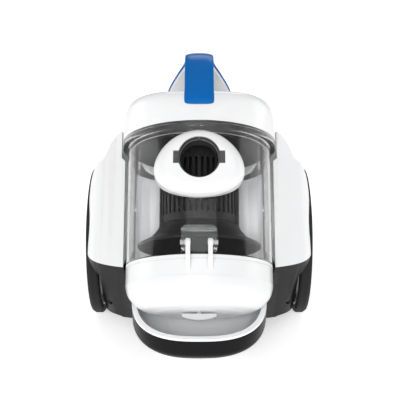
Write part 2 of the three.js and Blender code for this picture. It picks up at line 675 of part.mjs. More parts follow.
// seal inside the door, with a low lip that enters the cup and clears it as the door swings
const doorGasket = () => turned([
  [CUP_R - 7, DOOR_TOP - 3], [CUP_R - 3.3, DOOR_TOP - 3], [CUP_R - 3.3, DOOR_TOP - 0.2],
  [CUP_R - 4.2, DOOR_TOP - 0.2], [CUP_R - 4.2, DOOR_TOP + 1.2], [CUP_R - 5.8, DOOR_TOP + 1.2],
  [CUP_R - 7, DOOR_TOP - 0.2], [CUP_R - 7, DOOR_TOP - 3],
], FINE);

// ----------------------------------------------------------- lid of the dust bin
function hoodRing(r, a, power) {
  const points = [];
  for (let i = 0; i < 2 * FINE; i++) {
    const t = (Math.PI * i) / FINE;
    const bend = Math.sin(t) > 0 ? power : 2;
    points.push([r * superArc(Math.cos(t), bend), -r * superArc(Math.sin(t), bend), a]);
  }
  return points;
}

// the rim level stays put when the hood grows, so that its open end stays flush
const hoodSolid = (grow) => loft(HOOD_LEVELS.map(
  ([r, a, power], i) => hoodRing(r + grow, i === 0 ? a : a + grow, power)));

function binLid() {
  const core = turned([[0, 0], [BEAD_R - 4, 0], [79, 9], [77.3, 21], [75.5, 26.5], [71.5, 31], [66, 34.6],
    [59.5, HOOD_TOP - 2.6], [0, HOOD_TOP - 2.6]], FINE);
  const hood = hoodSolid(0).subtract(core);
  const ribs = tube(71.5, 69.5, -5.4, 33, FINE);
  return hood.add(ribs);
}

const lidGasket = () => tube(CUP_R - CUP_WALL - GAP, 72, -5.5, -2.5, FINE);

function separatorPlate() {
  const plate = tube(71.3, 24, -8.2, -5.8, FINE);
  return plate.add(tube(27, 24, -8.2, 4, COARSE));
}

function filterFrame() {
  const ring = tube(68.6, 66, -5.4, 14, MEDIUM);
  const spokes = [0, 60, 120].map((a) => block([-67, -1.5, -5.4], [67, 1.5, -3.6]).rotate([0, 0, a]));
  return spokes.reduce((s, q) => s.add(q), ring).subtract(rod(27.5, -20, 20, COARSE));
}

const filterFoam = () =>
  tube(65, 28, -3.2, 15, MEDIUM).add(rod(65, 14.9, 30, MEDIUM)).subtract(rod(30, 5, 14, COARSE));

function shroud() {
  let wall = tube(SHROUD_R, SHROUD_R - 2, SHROUD_BOTTOM, -8.5, MEDIUM);
  const slots = 18;
  for (let i = 0; i < slots; i++) {
    const slot = block([SHROUD_R - 6, -1.7, -80], [SHROUD_R + 4, 1.7, -22]);
    wall = wall.subtract(slot.rotate([0, 0, (360 * (i + 0.5)) / slots]));
  }
  return wall;
}

function shroudSkirt() {
  return turned([
    [SHROUD_R - 4, SHROUD_BOTTOM - GAP], [SHROUD_R, SHROUD_BOTTOM - GAP], [46, -95], [54, -103],
    [SKIRT_R, SKIRT_BOTTOM + 3], [SKIRT_R, SKIRT_BOTTOM], [53, -106], [44, -98], [SHROUD_R - 4, -92],
    [SHROUD_R - 4, SHROUD_BOTTOM - GAP],
  ], MEDIUM);
}

const vortexFinder = () => tube(23.6, 21.6, -70, -4, COARSE);

// --------------------------------------------------------------- carrying handle
// centre line of the loop from its front root over the top to its rear root:
// [y, z, half width of the strip]
const HANDLE_PATH = [
  [-58.3, 281.3, 15.8], [-55.9, 288.5, 15.5], [-49.9, 295.2, 15.3], [-40.9, 300.6, 15], [-27, 308, 15],
  [-12, 314.5, 15], [5, 318, 15],
  [20, 316, 15], [33, 310, 15.5], [43, 298, 17], [48, 283, 25], [50, 263, 35], [51, 240, 39], [52, 205, 40],
];

function strip(innerOffset, outerOffset, sideInset) {
  const rings = HANDLE_PATH.map(([y, z, half], i) => {
    const [y0, z0] = HANDLE_PATH[Math.max(i - 1, 0)];
    const [y1, z1] = HANDLE_PATH[Math.min(i + 1, HANDLE_PATH.length - 1)];
    const length = Math.hypot(y1 - y0, z1 - z0);
    const [ny, nz] = [-(z1 - z0) / length, (y1 - y0) / length];
    const x = half - sideInset;
    const at = (offset, sx) => [sx * x, y + ny * offset, z + nz * offset];
    return [at(outerOffset, 1), at(outerOffset, -1), at(innerOffset, -1), at(innerOffset, 1)];
  });
  return loft(rings);
}

const hoodClear = () => placeBin(hoodSolid(GAP));
const handleSkin = () => strip(-3, 0, 0).subtract(hoodClear());
const handleCore = () => strip(-9, -3 - GAP, 1.2).subtract(hoodClear());

// -------------------------------------------------------------------- assembly
const cleaner = new THREE.Group();
const add = (name, solid, material, parent = cleaner) => parent.add(toMesh(name, solid, material));

add('lower_chassis', lowerChassis(), BLACK);
add('front_cradle', frontCradle(), WHITE);
add('front_bumper', frontBumper(), BLACK);
add('bin_bay', binBay(), DARK);
add('rear_shell', rearShell(), WHITE);
add('exhaust_filter', exhaustFilter(), PAPER);
add('exhaust_grille', exhaustGrille(), DARK);
add('cord_outlet', cordOutlet(), BLACK);
add('power_pedal', pedal(1), BLUE);
add('rewind_pedal', pedal(-1), BLUE);

for (const [label, side] of [['left', -1], ['right', 1]]) {
  add(`side_shell_${label}`, sideShell(side), WHITE);
  add(`side_skirt_${label}`, sideSkirt(side), DARK);
  add(`skirt_screw_${label}`, skirtScrew(side), STEEL);
  add(`axle_stub_${label}`, axleStub(side), STEEL);
  add(`tyre_${label}`, tyre(side), RUBBER);
  add(`wheel_disc_${label}`, wheelDisc(side), BLACK);
  add(`hub_cap_${label}`, hubCap(side), BLACK);
}

add('castor_fork', castorFork(), BLACK);
add('castor_wheel', castorWheel(), RUBBER);
add('castor_pin', castorPin(), STEEL);

add('motor_can', motorCan(), STEEL);
add('motor_stator', motorStator(), COPPER);
add('motor_rotor', motorRotor(), STEEL);
add('suction_fan', suctionFan(), GREY);
add('fan_cover', fanCover(), STEEL);
add('motor_mount_outer', motorMount(MOTOR.x0 + 10), RUBBER);
add('motor_mount_inner', motorMount(MOTOR.x1 - 10), RUBBER);
add('motor_inlet_seal', motorInletSeal(), RUBBER);
add('power_switch', switchBlock(), DARK);
add('cord_drum', reelDrum(), DARK);
add('reel_bracket', reelBracket(), DARK);
add('reel_spring', reelSpring(), STEEL);
add('reel_brake', reelBrake(), DARK);

const bin = new THREE.Group();
bin.rotation.x = -BIN_LEAN;
bin.position.set(0, RIM_Y, RIM_Z);
cleaner.add(bin);
add('dust_cup', dustCup(), CLEAR, bin);
add('inlet_collar', inletCollar(), WHITE, bin);
add('hinge_bracket', hingeBracket(), CLEAR, bin);
add('hinge_pin_left', hingePin(-1), GREY, bin);
add('hinge_pin_right', hingePin(1), GREY, bin);
add('bin_door', binDoor(), WHITE, bin);
add('door_gasket', doorGasket(), RUBBER, bin);
add('latch_button', latchButton(), GREY, bin);
add('latch_spring', latchSpring(), STEEL, bin);
add('bin_lid', binLid(), WHITE, bin);
add('lid_gasket', lidGasket(), RUBBER, bin);
add('separator_plate', separatorPlate(), DARK, bin);
add('filter_frame', filterFrame(), DARK, bin);
add('filter_foam', filterFoam(), FOAM, bin);
add('shroud', shroud(), DARK, bin);
add('shroud_skirt', shroudSkirt(), DARK, bin);
add('vortex_finder', vortexFinder(), DARK, bin);

add('handle_skin', handleSkin(), BLUE);
add('handle_core', handleCore(), WHITE);

export default cleaner;
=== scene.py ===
# Looks for the bagless canister vacuum cleaner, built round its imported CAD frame.
import math

import bmesh
import bpy
from mathutils import Matrix, Vector


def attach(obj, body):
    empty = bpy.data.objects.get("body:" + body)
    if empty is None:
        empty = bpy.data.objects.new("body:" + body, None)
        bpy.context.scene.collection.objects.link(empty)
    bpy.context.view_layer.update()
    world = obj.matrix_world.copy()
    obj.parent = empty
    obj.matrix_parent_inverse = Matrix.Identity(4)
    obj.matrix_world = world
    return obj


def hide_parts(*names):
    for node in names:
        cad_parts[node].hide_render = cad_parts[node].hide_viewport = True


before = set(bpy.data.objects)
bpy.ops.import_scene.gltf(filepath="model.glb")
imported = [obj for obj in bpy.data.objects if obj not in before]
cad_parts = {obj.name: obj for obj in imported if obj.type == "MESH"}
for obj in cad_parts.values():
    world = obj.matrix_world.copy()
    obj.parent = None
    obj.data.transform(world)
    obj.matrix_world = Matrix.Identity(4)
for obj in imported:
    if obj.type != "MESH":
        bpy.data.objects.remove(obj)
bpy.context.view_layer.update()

# ------------------------------------------------------------------ measures
# Shapes are drawn in millimetres and brought to metres by finish_piece. Pieces of the bin, lid and door
# are drawn about the bin's own axis: Z runs up that axis from the cup's rim, and the front faces -Y.
# Names that end in _A are heights along the axis, and names that end in _P are reaches to the front.
MM = Matrix.Scale(0.001, 4)
LEAN = math.radians(42)  # the bin axis leans back from vertical
RIM_Y = -9
RIM_Z = 218
BIN = Matrix.Translation((0, RIM_Y, RIM_Z)) @ Matrix.Rotation(-LEAN, 4, "X")
LEFT = Matrix.Diagonal((-1, 1, 1, 1))

GAP = 0.3
WALL = 2.6
# facets round turned pieces
ROUND_FINE = 160
ROUND = 128
ROUND_PORT = 96
ROUND_MEDIUM = 64
ROUND_SMALL = 40

# the clear cup, and the bay that the bin sits in
CUP_R = 77
CUP_WALL = 2.4
CUP_LENGTH = 131
BEAD_R = 82.7
BEAD_HALF = 3.4
BAY_R = 80.8
HOOD_BAY_R = 84.8
BAY_STEP_LOW = -14
BAY_STEP_HIGH = -10
BAY_TOP = 120

# the hose inlet, the hinge and the door at the bottom of the bin
INLET_A = -37.5
INLET_R = 21
INLET_WALL = 3.4
COLLAR_A = -45.2
COLLAR_P = 92

HINGE_P = 83
HINGE_A = -121
PIN_R = 2.5

DOOR_TOP = -(CUP_LENGTH + GAP)
DOOR_BAND = -154
DOOR_END = -181
DOOR_END_R = 45
ARM_X = 10.9
ARM_HALF = 2.2
LATCH_P = 23
LATCH_TRAVEL = 1.5

# the lid, with the shroud that hangs from it
HOOD_TOP = 41
SHROUD_R = 42.5
SHROUD_BOTTOM = -88
SKIRT_R = 65
SKIRT_BOTTOM = -112
SHROUD_SLOTS = 44

# the tray and bumper at the front of the chassis
NOSE_HALF = 73
NOSE_BACK = -80
NOSE_REACH = 85
NOSE_POWER = 2.7
LIP_Z = 77.5
LIP_THICK = 2.5
BOWL_FLOOR = 39
CRADLE_BACK = -48

# the rest of the chassis
BODY_HALF = 121.3
PARTING_Z = 118
SPLIT_Y = 29.3
REAR_PARTING_Z = 62
REAR_Y = 174
FLOOR_Z = 22
SKIRT_FRONT = -93.5
SKIRT_RAKE = 42
SCREW = (102, 44)  # x and z

# the wheels and the arches round them
WHEEL_R = 86
WHEEL_Y = 19
WHEEL_IN = 111.5
WHEEL_OUT = 124.5
HUB_OUT = 127.3
AXLE_R = 8
ARCH_R = WHEEL_R + 3.5
ARCH_IN = 108.8
ARCH_OUT = 160
CASTOR_Y = -92
CASTOR_R = 14

# the motor, which the tub's saddles carry
MOTOR_Y = 52
MOTOR_Z = 88
MOTOR_R = 40


# ------------------------------------------------------------- solid helpers
NEARLY_STRAIGHT = math.radians(172)  # corners flatter than this are not rounded
SHARP_ANGLE = math.radians(38)


def new_object(name, bm):
    """Puts a bmesh into the scene as an object, with its normals facing out."""
    bmesh.ops.recalc_face_normals(bm, faces=bm.faces)
    mesh = bpy.data.meshes.new(name)
    bm.to_mesh(mesh)
    bm.free()
    obj = bpy.data.objects.new(name, mesh)
    bpy.context.scene.collection.objects.link(obj)
    return obj


def rounded(points, radius, steps=4, closed=True):
    """A 2D outline with each corner turned into an arc of about that radius."""
    count = len(points)
    result = []
    for i, point in enumerate(points):
        corner = Vector(point)
        if not closed and i in (0, count - 1):
            result.append(tuple(corner))
            continue
        before = Vector(points[i - 1]) - corner
        after = Vector(points[(i + 1) % count]) - corner
        angle = before.angle(after)
        if angle > NEARLY_STRAIGHT:
            result.append(tuple(corner))
            continue
        longest = 0.45 * min(before.length, after.length)
        reach = min(radius / math.tan(angle / 2), longest)
        start = corner + before.normalized() * reach
        end = corner + after.normalized() * reach
        for k in range(steps + 1):
            t = k / steps
            result.append(tuple(start * (1 - t) ** 2 + corner * 2 * t * (1 - t) + end * t * t))
    return result


def smooth_path(points, steps=6):
    """A Catmull-Rom curve through points of any dimension."""
    result = []
    last = len(points) - 1
    for i in range(last):
        p0 = points[max(i - 1, 0)]
        p1 = points[i]
        p2 = points[i + 1]
        p3 = points[min(i + 2, last)]
        for k in range(steps):
            t = k / steps
            result.append(tuple(
                b + 0.5 * t * (c - a + t * (2 * a - 5 * b + 4 * c - d + t * (3 * b - a - 3 * c + d)))
                for a, b, c, d in zip(p0, p1, p2, p3)
            ))
    result.append(tuple(points[last]))
    return result


def bezier(p0, p1, p2, p3, steps=28):
    """A cubic curve from p0 to p3, pulled towards p1 and p2."""
    result = []
    for i in range(steps + 1):
        t = i / steps
        u = 1 - t
        weights = (u ** 3, 3 * u * u * t, 3 * u * t * t, t ** 3)
        axes = zip(p0, p1, p2, p3)
        result.append(tuple(sum(w * c for w, c in zip(weights, values)) for values in axes))
    return result


def lathe(profile, segments=ROUND):
    """A profile of (radius, height) turned about Z. It closes on itself, or ends on the axis."""
    bm = bmesh.new()
    rings = []
    for r, z in profile:
        if r < 1e-6:
            rings.append([bm.verts.new((0, 0, z))])
            continue
        angles = (2 * math.pi * i / segments for i in range(segments))
        rings.append([bm.verts.new((r * math.cos(t), r * math.sin(t), z)) for t in angles])
    pairs = list(zip(rings, rings[1:]))
    if len(rings[0]) > 1 and profile[0] != profile[-1]:
        pairs.append((rings[-1], rings[0]))
    for a, b in pairs:
        for i in range(segments):
            j = (i + 1) % segments
            corners = [a[i % len(a)], a[j % len(a)], b[j % len(b)], b[i % len(b)]]
            unique = list(dict.fromkeys(corners))
            if len(unique) > 2:
                bm.faces.new(unique)
    return new_object("turned", bm)


def loft(rings):
    """A closed skin through rings of 3D points that all have the same count."""
    bm = bmesh.new()
    loops = [[bm.verts.new(p) for p in ring] for ring in rings]
    count = len(loops[0])
    for a, b in zip(loops, loops[1:]):
        for i in range(count):
            j = (i + 1) % count
            bm.faces.new((a[i], a[j], b[j], b[i]))
    bm.faces.new(loops[0])
    bm.faces.new(loops[-1])
    return new_object("lofted", bm)


def prism(outline, z0, z1):
    return loft([[(x, y, z0) for x, y in outline], [(x, y, z1) for x, y in outline]])


def block(low, high):
    (x0, y0, z0), (x1, y1, z1) = low, high
    return prism([(x0, y0), (x1, y0), (x1, y1), (x0, y1)], z0, z1)


def rod(radius, z0, z1, segments=ROUND_SMALL):
    return lathe([(0, z0), (radius, z0), (radius, z1), (0, z1)], segments)


def tube(outer, inner, z0, z1):
    return lathe([(inner, z0), (outer, z0), (outer, z1), (inner, z1)])


def move(obj, matrix):
    obj.data.transform(matrix)
    if matrix.determinant() < 0:
        obj.data.flip_normals()
    return obj


def shift(obj, x=0, y=0, z=0):
    return move(obj, Matrix.Translation((x, y, z)))


def turn(obj, degrees, axis):
    return move(obj, Matrix.Rotation(math.radians(degrees), 4, axis))


def along_x(obj):
    return turn(obj, 90, "Y")


def along_y(obj):
    return turn(obj, -90, "X")


def facing_front(obj):
    """Turns a solid built along +Z to face the bin's front, which is -Y in its frame."""
    return turn(obj, 90, "X")


def apply_modifiers(obj):
    bpy.context.view_layer.update()
    depsgraph = bpy.context.evaluated_depsgraph_get()
    mesh = bpy.data.meshes.new_from_object(obj.evaluated_get(depsgraph))
    obj.modifiers.clear()
    obj.data = mesh


def combine(base, tools, operation):
    """Cuts, joins or intersects base with each tool, and removes the tools."""
    for tool in tools:
        modifier = base.modifiers.new("solid", "BOOLEAN")
        modifier.operation = operation
        modifier.solver = "MANIFOLD"
        modifier.object = tool
        apply_modifiers(base)
        bpy.data.objects.remove(tool)
    return base


def cut(base, *tools):
    return combine(base, tools, "DIFFERENCE")


def join(base, *tools):
    return combine(base, tools, "UNION")


def clip(base, *tools):
    return combine(base, tools, "INTERSECT")


def add_bevel(obj, width, segments, angle):
    """A bevel of that width in millimetres, on edges sharper than that angle in degrees."""
    modifier = obj.modifiers.new("edges", "BEVEL")
    modifier.width = width * 0.001
    modifier.segments = segments
    modifier.limit_method = "ANGLE"
    modifier.angle_limit = math.radians(angle)
    return modifier


def clean_mesh(obj):
    """Merges the doubled points and slivers that the cuts leave behind."""
    bm = bmesh.new()
    bm.from_mesh(obj.data)
    bmesh.ops.remove_doubles(bm, verts=bm.verts, dist=0.004)
    bmesh.ops.dissolve_degenerate(bm, edges=bm.edges, dist=0.002)
    bmesh.ops.recalc_face_normals(bm, faces=bm.faces)
    bm.to_mesh(obj.data)
    bm.free()


def finish_piece(obj, name, body, material, nodes=(), place=None, bevel=0.0, segments=3):
    """Brings a solid to metres, rounds its edges, and hands it to the frame."""
    if place is not None:
        move(obj, place)
    clean_mesh(obj)
    move(obj, MM)
    obj.name = name
    obj.data.name = name
    if bevel:
        modifier = add_bevel(obj, bevel, segments, 32)
        modifier.miter_outer = "MITER_ARC"
        modifier.use_clamp_overlap = True
        apply_modifiers(obj)
    obj.data.shade_smooth()
    obj.data.set_sharp_from_angle(angle=SHARP_ANGLE)
    normals = obj.modifiers.new("normals", "WEIGHTED_NORMAL")
    normals.keep_sharp = True
    obj.data.materials.clear()
    obj.data.materials.append(material)
    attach(obj, body)
    if nodes:
        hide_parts(*nodes)


def dress(node, material, bevel):
    """Keeps a CAD node's shape and gives it a finished surface and softened edges."""
    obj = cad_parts[node]
    for material_slot in obj.material_slots:
        material_slot.material = material
    weld = obj.modifiers.new("weld", "WELD")
    weld.merge_threshold = 0.00002
    add_bevel(obj, bevel, 2, 35)


# ----------------------------------------------------------------- materials
def ramp_between(nodes, links, factor, low, high):
    """A value that runs from low to high as factor runs from 0 to 1."""
    remap = nodes.new("ShaderNodeMapRange")
    remap.inputs["To Min"].default_value = low
    remap.inputs["To Max"].default_value = high
    links.new(factor, remap.inputs["Value"])
    return remap.outputs["Result"]


def noise(nodes, links, coordinates, scale, detail=3.0, roughness=0.5):
    texture = nodes.new("ShaderNodeTexNoise")
    texture.inputs["Scale"].default_value = scale
    texture.inputs["Detail"].default_value = detail
    texture.inputs["Roughness"].default_value = roughness
    links.new(coordinates, texture.inputs["Vector"])
    return texture.outputs["Fac"]


def mix_colour(nodes, links, factor, low, high):
    """Two colours mixed by a factor socket. Each is a plain colour or another colour socket."""
    mix = nodes.new("ShaderNodeMix")
    mix.data_type = "RGBA"
    links.new(factor, mix.inputs["Factor"])
    for socket, value in ((mix.inputs["A"], low), (mix.inputs["B"], high)):
        if hasattr(value, "is_linked"):
            links.new(value, socket)
        else:
            socket.default_value = (*value, 1)
    return mix.outputs["Result"]


def bump_chain(nodes, links, heights):
    """Stacks height sockets into one normal. Each is (height, strength, distance in metres)."""
    normal = None
    for height, strength, distance in heights:
        bump = nodes.new("ShaderNodeBump")
        bump.inputs["Strength"].default_value = strength
        bump.inputs["Distance"].default_value = distance
        links.new(height, bump.inputs["Height"])
        if normal is not None:
            links.new(normal, bump.inputs["Normal"])
        normal = bump.outputs["Normal"]
    return normal


def start_material(name):
    material = bpy.data.materials.new(name)
    material.use_nodes = True
    nodes = material.node_tree.nodes
    links = material.node_tree.links
    shader = nodes["Principled BSDF"]
    coordinates = nodes.new("ShaderNodeTexCoord").outputs["Object"]
    return material, nodes, links, shader, coordinates


def edge_mask(nodes, links, coordinates):
    """Bright on worn convex edges, broken up by noise."""
    geometry = nodes.new("ShaderNodeNewGeometry")
    mask = nodes.new("ShaderNodeMapRange")
    mask.inputs["From Min"].default_value = 0.52
    mask.inputs["From Max"].default_value = 0.6
    links.new(geometry.outputs["Pointiness"], mask.inputs["Value"])
    patchy = nodes.new("ShaderNodeMath")
    patchy.operation = "MULTIPLY"
    links.new(mask.outputs["Result"], patchy.inputs[0])
    links.new(noise(nodes, links, coordinates, 140, 4), patchy.inputs[1])
    return patchy.outputs["Value"]


def moulded_plastic(name, colour, shade, worn, roughness, grain=0.12, coat=0.0, mirror=0.5):
    """Moulded plastic: mottled colour, edge wear, uneven gloss, flow ripples and fine grain."""
    material, nodes, links, shader, coordinates = start_material(name)
    mottled = mix_colour(nodes, links, noise(nodes, links, coordinates, 18, 5), colour, shade)
    wear = edge_mask(nodes, links, coordinates)
    links.new(mix_colour(nodes, links, wear, mottled, worn), shader.inputs["Base Color"])
    smudge = noise(nodes, links, coordinates, 45, 6, 0.65)
    gloss = ramp_between(nodes, links, smudge, roughness - 0.06, roughness + 0.06)
    links.new(gloss, shader.inputs["Roughness"])
    heights = [
        (noise(nodes, links, coordinates, 55, 1), 0.05, 0.002),
        (noise(nodes, links, coordinates, 2600, 2), grain, 0.00012),
    ]
    links.new(bump_chain(nodes, links, heights), shader.inputs["Normal"])
    shader.inputs["Specular IOR Level"].default_value = mirror
    shader.inputs["Coat Weight"].default_value = coat
    shader.inputs["Coat Roughness"].default_value = 0.06
    return material


def clear_plastic(name, tint, roughness, ior):
    """Smoky clear plastic that lets lamps through, with faint mould haze and scuffs."""
    material, nodes, links, shader, coordinates = start_material(name)
    shader.inputs["Base Color"].default_value = (*tint, 1)
    shader.inputs["Transmission Weight"].default_value = 1
    shader.inputs["IOR"].default_value = ior
    scuff = noise(nodes, links, coordinates, 60, 6, 0.7)
    links.new(ramp_between(nodes, links, scuff, roughness, roughness + 0.05), shader.inputs["Roughness"])
    heights = [(noise(nodes, links, coordinates, 30, 1), 0.04, 0.001)]
    links.new(bump_chain(nodes, links, heights), shader.inputs["Normal"])
    through = nodes.new("ShaderNodeBsdfTransparent")
    through.inputs["Color"].default_value = (*tint, 1)
    path = nodes.new("ShaderNodeLightPath")
    mix = nodes.new("ShaderNodeMixShader")
    links.new(path.outputs["Is Shadow Ray"], mix.inputs["Fac"])
    links.new(shader.outputs["BSDF"], mix.inputs[1])
    links.new(through.outputs["BSDF"], mix.inputs[2])
    links.new(mix.outputs["Shader"], nodes["Material Output"].inputs["Surface"])
    return material


def brushed_metal(name, colour, shade, roughness):
    """Turned or pressed metal with streaks and a little tarnish."""
    material, nodes, links, shader, coordinates = start_material(name)
    stretch = nodes.new("ShaderNodeMapping")
    stretch.inputs["Scale"].default_value = (30, 1, 1)
    links.new(coordinates, stretch.inputs["Vector"])
    streaks = noise(nodes, links, stretch.outputs["Vector"], 60, 5)
    links.new(mix_colour(nodes, links, streaks, colour, shade), shader.inputs["Base Color"])
    links.new(ramp_between(nodes, links, streaks, roughness - 0.1, roughness + 0.12),
              shader.inputs["Roughness"])
    links.new(bump_chain(nodes, links, [(streaks, 0.2, 0.0002)]), shader.inputs["Normal"])
    shader.inputs["Metallic"].default_value = 1
    return material


def porous(name, colour, shade, scale, strength):
    """Foam or pleated paper: open cells or fibres over an uneven colour, darkest in the bump's low pits as
    painted shade.
    """
    material, nodes, links, shader, coordinates = start_material(name)
    cells = nodes.new("ShaderNodeTexVoronoi")
    cells.inputs["Scale"].default_value = scale
    links.new(coordinates, cells.inputs["Vector"])
    # painted shade: the shade colour fills the cell centres, where the bump is lowest
    links.new(mix_colour(nodes, links, cells.outputs["Distance"], shade, colour),
              shader.inputs["Base Color"])
    links.new(bump_chain(nodes, links, [(cells.outputs["Distance"], strength, 0.0008)]),
              shader.inputs["Normal"])
    patches = noise(nodes, links, coordinates, 30, 3)
    links.new(ramp_between(nodes, links, patches, 0.85, 0.98), shader.inputs["Roughness"])
    return material


WHITE = moulded_plastic(
    "white_gloss", (0.77, 0.773, 0.78), (0.75, 0.753, 0.76), (0.68, 0.68, 0.67),
    roughness=0.22, grain=0.05, coat=0.2,
)
# A lighter copy of the white plastic for the nose tray: painted light that lifts the shade in the bowl
# under the door.
TRAY_WHITE_PAINTED_LIGHT = moulded_plastic(
    "tray_white_painted_light", (0.9, 0.903, 0.91), (0.88, 0.883, 0.89), (0.75, 0.75, 0.74),
    roughness=0.22, grain=0.05, coat=0.2,
)
BLUE = moulded_plastic(
    "blue_gloss", (0.002, 0.125, 0.42), (0.001, 0.105, 0.37), (0.03, 0.2, 0.48),
    roughness=0.2, grain=0.06, mirror=0.1,
)
CHARCOAL = moulded_plastic(
    "charcoal_satin", (0.009, 0.009, 0.010), (0.006, 0.006, 0.007), (0.04, 0.04, 0.04),
    roughness=0.42, grain=0.12, mirror=0.14,
)
BLACK = moulded_plastic(
    "black_satin", (0.005, 0.005, 0.006), (0.003, 0.003, 0.004), (0.03, 0.03, 0.03),
    roughness=0.38, grain=0.12, mirror=0.12,
)
BLACK_GLOSS = moulded_plastic(
    "black_gloss", (0.004, 0.004, 0.005), (0.003, 0.003, 0.004), (0.03, 0.03, 0.03),
    roughness=0.2, grain=0.05, mirror=0.35,
)
INNER_DARK = moulded_plastic(
    "inner_dark", (0.008, 0.008, 0.009), (0.006, 0.006, 0.007), (0.03, 0.03, 0.03),
    roughness=0.4, grain=0.12, mirror=0.2,
)
SLEEVE = moulded_plastic(
    "sleeve_satin", (0.03, 0.03, 0.032), (0.02, 0.02, 0.022), (0.08, 0.08, 0.08),
    roughness=0.3, grain=0.1,
)
GREY = moulded_plastic(
    "grey_satin", (0.38, 0.39, 0.40), (0.33, 0.34, 0.35), (0.5, 0.5, 0.5),
    roughness=0.38,
)
PALE_GREY = moulded_plastic(
    "pale_grey_satin", (0.55, 0.56, 0.57), (0.5, 0.51, 0.52), (0.62, 0.62, 0.62),
    roughness=0.34,
)
RUBBER = moulded_plastic(
    "tyre_rubber", (0.008, 0.008, 0.008), (0.014, 0.013, 0.013), (0.04, 0.038, 0.036),
    roughness=0.7, grain=0.4, mirror=0.25,
)
SEAL = moulded_plastic(
    "seal_rubber", (0.02, 0.02, 0.021), (0.03, 0.03, 0.03), (0.07, 0.07, 0.07),
    roughness=0.6, grain=0.3, mirror=0.3,
)
SMOKE = clear_plastic("smoky_clear", (0.972, 0.974, 0.976), roughness=0.02, ior=1.28)
SMOKE_DARK = clear_plastic("smoky_dark", (0.66, 0.665, 0.67), roughness=0.03, ior=1.5)
STEEL = brushed_metal("steel", (0.56, 0.57, 0.58), (0.42, 0.43, 0.44), roughness=0.3)
COPPER = brushed_metal("copper_winding", (0.72, 0.33, 0.15), (0.5, 0.2, 0.09), roughness=0.35)
# the second colour of the foam and the paper is painted shade in their pores
FOAM = porous("foam", (0.07, 0.075, 0.085), (0.03, 0.033, 0.04), scale=700, strength=0.8)
PAPER = porous("paper", (0.8, 0.78, 0.72), (0.66, 0.64, 0.58), scale=1500, strength=0.3)


# --------------------------------------------------------- clearances of the bin
DOOR_PROFILE = [(CUP_R, DOOR_BAND), (74.5, -163), (68, -171), (58, -177.5), (DOOR_END_R, DOOR_END)]


def bin_space():
    """The space that the bin slides in, for cutting the pieces round it."""
    grow = 1.8
    door = [(r + grow, a) for r, a in reversed(DOOR_PROFILE[:-1])]
    profile = [
        (0, DOOR_END - grow), (DOOR_END_R + grow, DOOR_END - grow), *door, (BAY_R, DOOR_BAND + 6),
        (BAY_R, BAY_STEP_LOW), (HOOD_BAY_R, BAY_STEP_HIGH), (HOOD_BAY_R, BAY_TOP), (0, BAY_TOP),
    ]
    return move(lathe(profile), BIN)


def bay_outer():
    """The bin's bay together with its wall."""
    low, high = BAY_R + WALL, HOOD_BAY_R + WALL
    profile = [(0, DOOR_END), (low, DOOR_END), (low, BAY_STEP_LOW), (high, BAY_STEP_HIGH),
               (high, BAY_TOP), (0, BAY_TOP)]
    return move(lathe(profile), BIN)


def wheel_arch(thickness, side=1):
    """The space for a side wheel, grown by that thickness for the wall round it."""
    arch = along_x(rod(ARCH_R + thickness, ARCH_IN - thickness, ARCH_OUT, ROUND))
    shift(arch, y=WHEEL_Y, z=WHEEL_R)
    return arch if side > 0 else move(arch, LEFT)


# ---------------------------------------------------------------- bin and lid
# (radius, height, squareness) of the hood from the rim up; only its front half is squared
HOOD_LEVELS = smooth_path([
    (BEAD_R, BEAD_HALF + GAP, 2), (82.3, 12, 2.2), (81.4, 22, 2.5), (79.6, 30, 2.8), (76, 36, 3),
    (70, 39.6, 3), (62, HOOD_TOP, 3),
], 5)


def hood_ring(radius, height, power, count=ROUND_FINE):
    points = []
    for i in range(count):
        t = 2 * math.pi * i / count
        bend = power if math.sin(t) > 0 else 2
        points.append((radius * super_arc(math.cos(t), bend), -radius * super_arc(math.sin(t), bend),
                       height))
    return points


def hood_solid(grow):
    levels = [(r + grow, a + (grow if i else 0), power) for i, (r, a, power) in enumerate(HOOD_LEVELS)]
    return loft([hood_ring(*level) for level in levels])


def make_hood():
    rim = BEAD_HALF + GAP
    hood = hood_solid(0)
    cut(hood, lathe([(71.5, rim - 1), (80.6, rim - 1), (80.6, rim), (78.9, 9), (77.2, 21), (75.4, 26.5),
                     (71.7, 30.8), (71.5, 29)]))
    cut(hood, lathe([(0, rim - 1), (69.5, rim - 1), (69.5, 32.2), (66, 34.6), (59.5, 37.4), (0, 37.4)]))
    join(hood, tube(71.5, 69.5, -5.4, rim + 1))
    finish_piece(hood, "hood", "lid", WHITE, ["bin_lid"], BIN, 0.4)


def make_lid_gasket():
    profile = [(72, -5.2), (72.4, -5.5), (73.9, -5.5), (74.3, -5.2), (74.3, 3.45), (82, 3.45),
               (82, 3.65), (72, 3.65)]
    finish_piece(lathe(profile), "gasket_ring", "lid", SEAL, ["lid_gasket"], BIN)


def make_shroud():
    wall = tube(SHROUD_R, SHROUD_R - 2, SHROUD_BOTTOM, -8.5)
    for i in range(SHROUD_SLOTS):
        outline = rounded([(-1.3, -80), (1.3, -80), (1.3, -22), (-1.3, -22)], 1.2, 2)
        slot = facing_front(prism(outline, SHROUD_R - 6, SHROUD_R + 4))
        cut(wall, turn(slot, 360 * (i + 0.5) / SHROUD_SLOTS, "Z"))
    finish_piece(wall, "shroud_cage", "lid", INNER_DARK, ["shroud"], BIN, 0.2, 2)


def make_skirt_cone():
    outer = smooth_path([(SHROUD_R, SHROUD_BOTTOM - GAP), (44, -92), (47.5, -97), (54, -103),
                         (SKIRT_R, -109)], 5)
    inner = smooth_path([(SKIRT_R, SKIRT_BOTTOM), (53, -106), (45.5, -99.5), (42, -94), (38.5, -91)], 5)
    profile = [(38.5, SHROUD_BOTTOM - GAP), *outer, *inner]
    finish_piece(lathe(profile), "cone_skirt", "lid", INNER_DARK, ["shroud_skirt"], BIN, 0.5)


